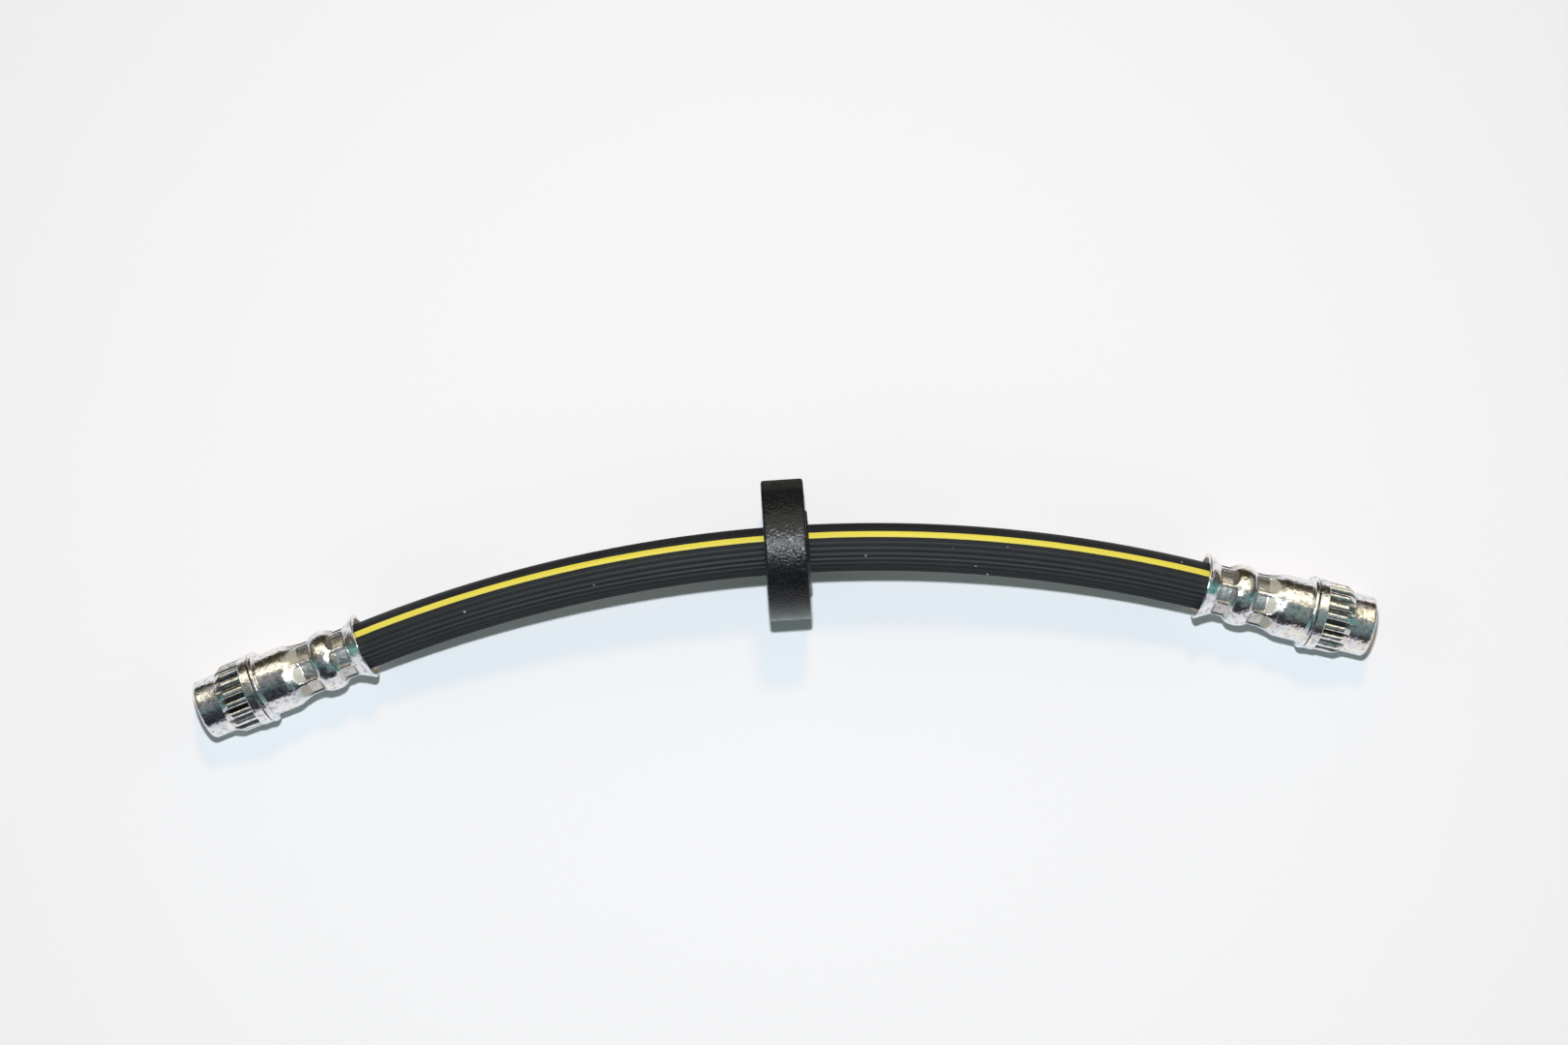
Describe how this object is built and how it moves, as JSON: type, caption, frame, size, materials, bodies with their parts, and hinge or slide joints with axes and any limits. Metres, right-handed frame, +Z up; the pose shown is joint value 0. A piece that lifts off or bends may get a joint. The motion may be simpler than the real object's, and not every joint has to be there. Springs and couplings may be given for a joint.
{
  "type": "brake hose",
  "caption": "Curved rubber hydraulic brake hose with a crimped steel female end fitting at each end and a rubber ring grommet on its middle.",
  "frame": {"origin": "middle of the hose's box in plan, at the level it lies on", "axes": "+X along the chord from the left port to the right port, +Y towards the outer side of the arc, +Z up"},
  "size_m": [0.2616, 0.0478, 0.0308],
  "materials": {
    "hose_rubber": "satin black ribbed cover with one yellow stripe",
    "grommet_rubber": "matt black moulded rubber",
    "fitting_zinc": "bright zinc plate, faintly yellow and green passivated",
    "shell_zinc": "bright zinc plate over a pressed steel shell"
  },
  "bodies": {
    "root": {"hose": "hose_rubber", "grommet": "grommet_rubber", "left_fitting_body": "fitting_zinc", "left_crimp_shell": "shell_zinc", "right_fitting_body": "fitting_zinc", "right_crimp_shell": "shell_zinc"}
  },
  "joints": []
}
